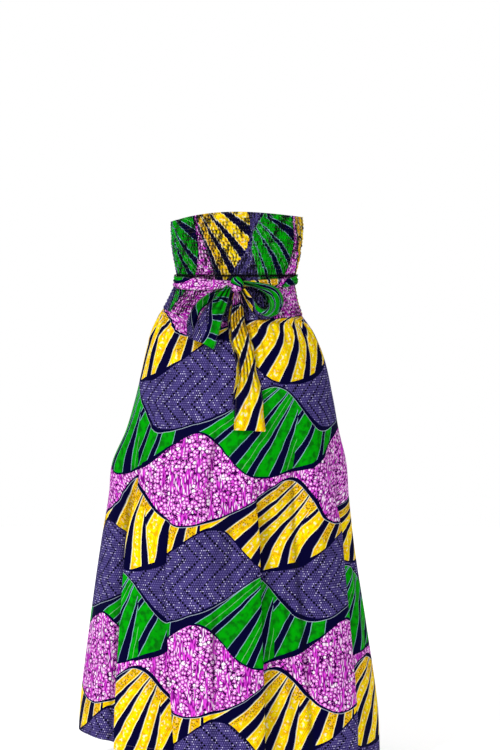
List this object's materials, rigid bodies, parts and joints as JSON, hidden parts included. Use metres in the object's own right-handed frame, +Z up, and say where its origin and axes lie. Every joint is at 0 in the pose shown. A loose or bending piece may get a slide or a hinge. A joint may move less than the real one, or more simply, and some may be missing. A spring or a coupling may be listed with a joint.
{
  "type": "ankara wax print dress",
  "caption": "Strapless maxi dress in wax print cotton with a shirred back bodice, a gathered skirt in soft folds, and a waist sash tied in a bow behind.",
  "frame": {"origin": "centre of the top opening, at the height of the back's top edge, where the wearer's chest holds the dress up", "axes": "+Z up, the front of the dress faces -Y, the back with the bow faces +Y, +X is the wearer's left side"},
  "size_m": [0.6688, 0.5359, 1.2001],
  "materials": {
    "print_green": "wax print cotton, leaf green rays",
    "print_yellow": "wax print cotton, yellow rays",
    "print_indigo": "wax print cotton, indigo with dots",
    "print_magenta": "wax print cotton, magenta pebbles"
  },
  "bodies": {
    "root": {"bodice_back": "print_magenta", "bodice_front": "print_yellow", "skirt_back": "print_green", "skirt_front": "print_indigo", "sash_left": "print_magenta", "sash_right": "print_yellow", "knot": "print_indigo", "loop_left": "print_indigo", "loop_right": "print_green", "tail_long": "print_yellow", "tail_short": "print_yellow"}
  },
  "joints": []
}
